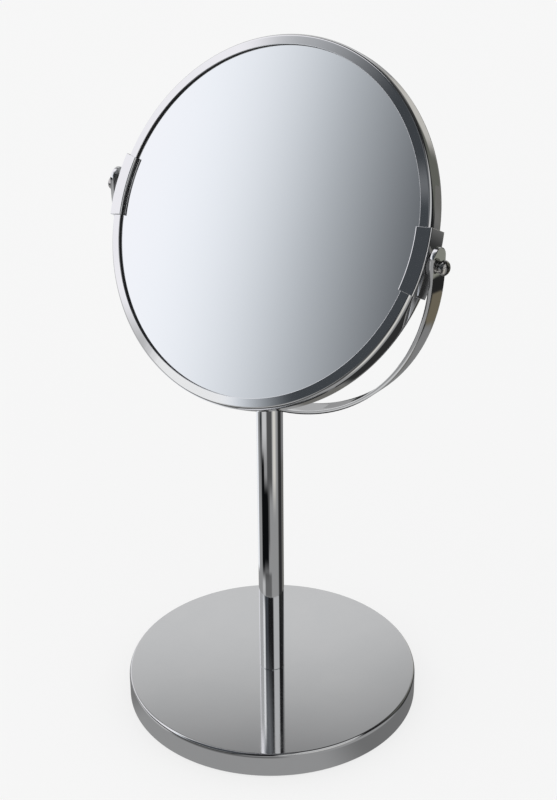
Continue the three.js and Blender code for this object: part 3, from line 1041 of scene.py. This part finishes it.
# %% Washers and pivot screws
FRICTION_RADIUS = 4.8
COLLAR_RADIUS = 2.7
COLLAR_HEIGHT = 1.6
DOME_RADIUS = 3.4
PIVOT_SHANK = 1.5
CLIP_GAP, EAR_GAP, COLLAR_GAP, HEAD_GAP = 0.1, 0.05, 0.03, 0.02
ear_inside = yoke_reach / MM - YOKE_SHEET
ear_outside = yoke_reach / MM
screw_seat = ear_outside + COLLAR_HEIGHT
screw_tip, screw_top = (corner.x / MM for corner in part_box("right_pivot_screw"))


def pivot_ring(name, radius, low, high, corner):
    """A washer on the pivot's shank, lying with its axis along Z (mm)."""
    outline = [(PIVOT_HOLE, low), (radius, low), (radius, high), (PIVOT_HOLE, high)]
    return turned(name, soften(outline, corner), steps=96)


friction = pivot_ring("friction", FRICTION_RADIUS, clip_reach + CLIP_GAP, ear_inside - EAR_GAP, corner=0.2)
collar = pivot_ring("collar", COLLAR_RADIUS, ear_outside + COLLAR_GAP, screw_seat - HEAD_GAP, corner=0.15)
domed = screw("domed", DOME_RADIUS, screw_top - screw_seat, PIVOT_SHANK, screw_seat, screw_tip)
for part, name, material, slot, kind in (
    (friction, "friction_washers", grey_plastic, "grey_plastic", "friction_washer"),
    (collar, "pivot_collars", shaded_screw_chrome, "chrome_plate", "cup_washer"),
    (domed, "pivot_screws", shaded_screw_chrome, "chrome_plate", "pivot_screw"),
):
    part.data.transform(TO_RIGHT)
    pair(part, name, material, slot, kind)

# %% [markdown]
# ## What stays as the CAD made it
#
# The weight, the threaded plugs, the nuts and the ring between the glasses are inside, and their
# plain shapes are right. They keep their meshes and get real finishes.

# %% Finish the inner pieces
inner_finishes = {
    "base_weight": cast_iron,
    "post_lower_insert": zinc_plate,
    "post_upper_insert": zinc_plate,
    "left_pivot_nut": zinc_plate,
    "right_pivot_nut": zinc_plate,
    "mirror_spacer": grey_plastic,
}
for node, material in inner_finishes.items():
    kept = frame["nodes"][node]
    if not kept.material_slots:
        kept.data.materials.append(material)
    for finish_slot in kept.material_slots:
        finish_slot.material = material
print("kept:", ", ".join(inner_finishes))

# %% [markdown]
# ## The studio
#
# Chrome shows its surroundings, so the studio is half of the picture. It is plain: a pale floor, an
# even light, and large soft panels round the object, as in a product studio. The panels are painted
# reflections, and their dark parts are painted shade. They don't show themselves and light no matte
# surface, because the world, a sheet under the floor and two low screens give them only to glossy rays.
#
# `panels` paints them. Each panel covers a span of compass angles and a span of heights, with soft
# edges, and lies over the ones before it. Angle 0 is in front of the mirror, 90 at its left.

# %% Paint soft panels
def span(tree, value, low, high, soft):
    """1 inside a span and 0 outside it, with soft edges that are centred on its limits."""
    edges = []
    for limit, inwards in ((low, 1), (high, -1)):
        edges.append(add(tree, "ShaderNodeMapRange", {
            "Value": value,
            "From Min": limit - inwards * soft / 2,
            "From Max": limit + inwards * soft / 2,
        }, interpolation_type="SMOOTHSTEP").outputs["Result"])
    return calc(tree, "MULTIPLY", *edges)


def panels(tree, angle, height, backdrop, rows):
    """The colour of a backdrop with soft panels laid over it."""
    colour = add(tree, "ShaderNodeRGB").outputs[0]
    colour.default_value = (*backdrop, 1)
    for _, (start, end), (low, high), (soft_angle, soft_height), level, tint in rows:
        inside = calc(tree, "MULTIPLY", span(tree, angle, start, end, soft_angle),
                      span(tree, height, low, high, soft_height))
        light = (*(level * part for part in tint), 1)
        colour = add(tree, "ShaderNodeMix", {
            "Factor": inside, 6: colour, 7: light}, data_type="RGBA").outputs[2]
    return colour


def compass(tree, x, y, wrap_at=-125):
    """The compass angle of a direction in degrees, from wrap_at to wrap_at + 360."""
    turn = calc(tree, "ARCTAN2", calc(tree, "MULTIPLY", x, -1.0), calc(tree, "MULTIPLY", y, -1.0))
    return calc(tree, "WRAP", calc(tree, "DEGREES", turn), wrap_at + 360.0, float(wrap_at))


WHITE = (1.0, 1.0, 1.0)
COOL = (0.97, 0.99, 1.03)
ICE = (0.945, 0.995, 1.055)
PEARL = (1.0, 0.985, 1.02)
BLUE = (0.90, 1.0, 1.12)
WARM = (1.03, 1.0, 0.93)
OLIVE = (1.0, 1.02, 0.88)
BROWN = (1.15, 1.0, 0.72)
print("a cool panel is tinted", COOL, "and a warm one", WARM)

# %% [markdown]
# The walls. A broad soft box stands at the left and reaches round to the back. Its front edge fades
# slowly, and that fade is the gradient on the glass. A narrower panel stands at the right. Between
# them the room is dark, which gives the tube its black stripes. The upright edges of both lean
# outwards, which is how upright panels look from below.

# %% The list of wall panels
# An elevation of -10 is below the horizon and 90 is overhead, so such a span has no edge there.
wall_panels = [
    # what it is, from and to angle, from and to elevation, soft edges, brightness, tint
    ("front fill", (-20, 60), (-10, 90), (12, 10), 0.065, BLUE),
    ("left soft box", (27, 150), (-10, 90), (15, 10), 1.0, ICE),
    ("its white middle", (33, 150), (-10, 90), (14, 10), 1.0, PEARL),
    ("its top, front part", (-30, 42), (38, 90), (16, 6), 0.50, COOL),
    ("its top, front edge", (-30, 24), (38, 90), (30, 6), 0.06, BLUE),
    ("back part of the soft box", (110, 152), (-10, 90), (24, 10), 0.63, WHITE),
    ("low part at the back left", (118, 158), (-10, 18), (14, 12), 0.46, WHITE),
    ("shade in its corner", (134, 180), (35.5, 120), (8, 6), 0.38, WHITE),
    ("dark over the back", (95, 205), (38.7, 120), (30, 9), 0.04, WHITE),
    ("back wall", (158, 186), (-10, 26), (16, 14), 0.55, WARM),
    ("back wall, right part", (186, 222), (-10, 30), (10, 14), 0.13, OLIVE),
    ("right panel", (-96, -41), (-10, 52), (10, 14), 0.58, WHITE),
    ("low part of the right panel", (-96, -41), (-10, 22), (10, 10), 0.78, WHITE),
    ("gap in the right panel", (-96, -41), (7, 14), (10, 4), 0.03, WHITE),
]
print(len(wall_panels), "wall panels")

# %% [markdown]
# The panels go into the world. `SKEW` is how many degrees an edge leans sideways for each degree up.
# Left and right edges lean opposite ways. They part at the compass angle `PARTING`, and the lean
# turns over slowly, `TURNOVER` degrees to either side of it, or a seam would show as a line on the
# tube. Rays that aren't glossy see an even pale light instead.

# %% The walls of the studio
PALE = 0.93
SKEW = 0.4
PARTING = -32.0
TURNOVER = 20.0
UNLIT_WALL = (0.014, 0.014, 0.015)

world = bpy.data.worlds.new("studio")
bpy.context.scene.world = world
world.use_nodes = True
tree = world.node_tree
tree.nodes.clear()
ray = add(tree, "ShaderNodeSeparateXYZ", {
    0: add(tree, "ShaderNodeTexCoord").outputs["Generated"]}).outputs
elevation = calc(tree, "DEGREES", calc(tree, "ARCSINE", ray["Z"]))
bearing = compass(tree, ray["X"], ray["Y"])
side = calc(tree, "DIVIDE", calc(tree, "SUBTRACT", bearing, PARTING), TURNOVER)
side = calc(tree, "MINIMUM", calc(tree, "MAXIMUM", side, -1.0), 1.0)
skewed = calc(tree, "MULTIPLY_ADD", calc(tree, "MULTIPLY", elevation, side), -SKEW, bearing)
walls = panels(tree, skewed, elevation, UNLIT_WALL, wall_panels)
path = add(tree, "ShaderNodeLightPath").outputs
seen = add(tree, "ShaderNodeMix", {
    "Factor": path["Is Glossy Ray"], 6: (PALE, PALE, PALE, 1), 7: walls}, data_type="RGBA").outputs[2]
air = add(tree, "ShaderNodeBackground", {"Color": seen})
tree.links.new(air.outputs[0], add(tree, "ShaderNodeOutputWorld").inputs["Surface"])
print("the world's tree has", len(tree.nodes), "nodes")

# %% [markdown]
# What the chrome sees of the floor is a painted reflection, a list of patches like the list for the
# walls. The floor in it is grey, far darker than the pale floor that the camera sees, and darker still
# next to the base, which is painted shade. Dark and white patches lie round it. Distances are in
# millimetres from the post. Patches close to the base show in its side and its rolled edge, and far
# ones in the yoke and the rim.

# %% The list of patches in the floor's painted reflection
# A span from -10 has no edge at the post, and one up to FAR ends past everything that is seen.
FAR = 9000
floor_panels = [
    # what it is, from and to angle, from and to distance, soft edges, brightness, tint
    # The table is grey only in the reflection: the floor that the camera sees is pale.
    ("table", (-108, 208), (-10, FAR), (14, 10), 0.32, WHITE),
    ("back of the table", (160, 208), (-10, FAR), (12, 10), 0.16, WARM),
    ("back of the table, far part", (160, 212), (250, 335), (12, 30), 0.22, WHITE),
    ("dark beyond the table", (124, 172), (420, 620), (12, 60), 0.03, WHITE),
    ("left card", (87, 126), (116, FAR), (8, 10), 1.0, COOL),
    ("shade at the far left", (36, 62), (250, FAR), (10, 160), 0.03, BLUE),
    ("half shade by the base", (-42, 16), (93, 118), (12, 6), 0.14, WHITE),
    ("light strip by the base", (17, 45), (92, 112), (8, 16), 0.55, WHITE),
    ("half shade in front", (-31, -18), (145, 220), (8, 30), 0.12, WHITE),
    # The two dark card rows are near-black patches painted into the floor's reflection.
    ("dark card in front", (-20, 44), (119, 222), (10, 30), 0.005, BLUE),
    ("dark card, left part", (17, 44), (119, 262), (8, 24), 0.005, BLUE),
    ("far white card", (-6, 33), (270, 375), (14, 60), 0.62, WHITE),
    ("shade under the camera", (-53, -10), (213, FAR), (8, 40), 0.09, WHITE),
    ("white card at right", (-86, -60), (205, FAR), (20, 70), 0.72, WARM),
    ("brown board at the back", (195, 222), (330, 480), (12, 30), 0.14, BROWN),
    ("black line behind it", (195, 240), (480, 610), (12, 20), 0.02, WHITE),
    ("grey beyond", (195, 240), (610, 850), (12, 40), 0.25, OLIVE),
    # These three are painted shade on the floor next to the base.
    ("table by the base at right", (-140, -68), (-10, 90), (24, 4), 0.18, WHITE),
    ("table by the base behind", (209, 250), (-10, 90), (12, 4), 0.18, WHITE),
    ("table by the base at left", (38, 75), (-10, 90), (20, 4), 0.20, WHITE),
]
print(len(floor_panels), "cards on the floor")

# %% [markdown]
# The floor that the camera sees is plain and pale. It gives a little light of its own, as a light
# table does, which keeps the object's shadow faint. Glossy rays pass through it to the painted
# reflection of the floor under it.

# %% The floor
FLOOR_SIZE = 12.0
FLOOR_GREY = 0.2
FLOOR_GLOW = 0.741


def level_square(name, height):
    """A large level square that belongs to the studio."""
    shape = bmesh.new()
    bmesh.ops.create_grid(shape, x_segments=1, y_segments=1, size=FLOOR_SIZE / 2)
    bmesh.ops.translate(shape, verts=shape.verts, vec=(0, 0, height))
    return finished(name, shape)


floor = level_square("floor", 0.0)
floor_paint, tree, shader = new_material("floor_paint")
shader.inputs["Base Color"].default_value = (FLOOR_GREY, FLOOR_GREY, FLOOR_GREY, 1)
shader.inputs["Roughness"].default_value = 1.0
shader.inputs["Specular IOR Level"].default_value = 0.0
shader.inputs["Emission Color"].default_value = (1, 1, 1, 1)
shader.inputs["Emission Strength"].default_value = FLOOR_GLOW
floor.data.materials.append(floor_paint)
floor.visible_glossy = False
print("the floor is", FLOOR_SIZE, "m wide")

# %% [markdown]
# The floor's painted reflection, with its painted shade, glows from a sheet half a millimetre under
# the floor. `only_reflected` hides a studio piece from every kind of ray but glossy ones, and
# `glowing` makes a material that only gives light.

# %% The sheet with the floor's painted reflection
SHEET_DEPTH = 0.5
UNLIT_FLOOR = (0.03, 0.03, 0.03)


def only_reflected(piece):
    """Hides a studio piece from everything but glossy rays."""
    for kind in ("camera", "diffuse", "transmission", "shadow", "volume_scatter"):
        setattr(piece, f"visible_{kind}", False)


def glowing(name):
    """A material that only gives light, with its tree, its Emission shader and its output."""
    material = bpy.data.materials.new(name)
    material.use_nodes = True
    tree = material.node_tree
    tree.nodes.clear()
    glow = add(tree, "ShaderNodeEmission")
    output = add(tree, "ShaderNodeOutputMaterial")
    tree.links.new(glow.outputs[0], output.inputs["Surface"])
    return material, tree, glow, output


def spot_on(tree):
    """The X, Y and Z of a point on a piece, in metres."""
    place = add(tree, "ShaderNodeTexCoord").outputs["Object"]
    return add(tree, "ShaderNodeSeparateXYZ", {0: place}).outputs


card_sheet = level_square("card_sheet", -SHEET_DEPTH * MM)
painted_floor_reflection, tree, glow, output = glowing("painted_floor_reflection")
spot = spot_on(tree)
squares = calc(tree, "ADD", calc(tree, "POWER", spot["X"], 2.0), calc(tree, "POWER", spot["Y"], 2.0))
distance = calc(tree, "DIVIDE", calc(tree, "SQRT", squares), MM)
laid = panels(tree, compass(tree, spot["X"], spot["Y"]), distance, UNLIT_FLOOR, floor_panels)
tree.links.new(laid, glow.inputs["Color"])
card_sheet.data.materials.append(painted_floor_reflection)
only_reflected(card_sheet)
print("the sheet with the cards lies", SHEET_DEPTH, "mm under the floor")

# %% [markdown]
# Walls that are far away look the same from the base and from the head, 250 mm higher. In a real
# room they don't. Low screens that stand close by are seen by the base and the foot of the post,
# while the head looks over them. They are painted reflections: they glow, light nothing, and only
# glossy rays see them. Their light fades out towards their edges, like a card that is out of focus,
# so that they leave no hard patch in the glass when it is seen from above.

# %% Low screens round the base
SCREEN_DISTANCE = 200
SCREEN_STEPS = 32
FADE_ANGLE = 8
FADE_HEIGHT = 30
screens = [
    # name, from and to angle, from and to height in mm, brightness
    ("grey_screen", (46, 98), (68, 215), 0.50),
    ("white_screen", (24, 46), (100, 215), 0.95),
]


def upright_screen(name, turns, heights):
    """A sheet that stands on a circle round the post, reaching past its span by half its fade."""
    start, end = turns[0] - FADE_ANGLE / 2, turns[1] + FADE_ANGLE / 2
    low, high = heights[0] - FADE_HEIGHT / 2, heights[1] + FADE_HEIGHT / 2
    shape = bmesh.new()
    edges = []
    for k in range(SCREEN_STEPS + 1):
        turn = math.radians(start + (end - start) * k / SCREEN_STEPS)
        foot = Vector((-math.sin(turn), -math.cos(turn), 0)) * SCREEN_DISTANCE * MM
        edges.append([shape.verts.new(foot + Vector((0, 0, z * MM))) for z in (low, high)])
    for here, there in zip(edges, edges[1:]):
        shape.faces.new((here[0], there[0], there[1], here[1]))
    return finished(name, shape)


for name, turns, heights, level in screens:
    card = upright_screen(name, turns, heights)
    card_light, tree, glow, output = glowing(f"{name}_light")
    glow.inputs["Color"].default_value = (level, level, level, 1)
    spot = spot_on(tree)
    inside = calc(tree, "MULTIPLY",
                  span(tree, compass(tree, spot["X"], spot["Y"]), *turns, FADE_ANGLE),
                  span(tree, calc(tree, "DIVIDE", spot["Z"], MM), *heights, FADE_HEIGHT))
    faded = add(tree, "ShaderNodeMixShader", {
        0: inside, 1: add(tree, "ShaderNodeBsdfTransparent").outputs[0], 2: glow.outputs[0]})
    tree.links.new(faded.outputs[0], output.inputs["Surface"])
    card.data.materials.append(card_light)
    only_reflected(card)
print(len(screens), "low screens")
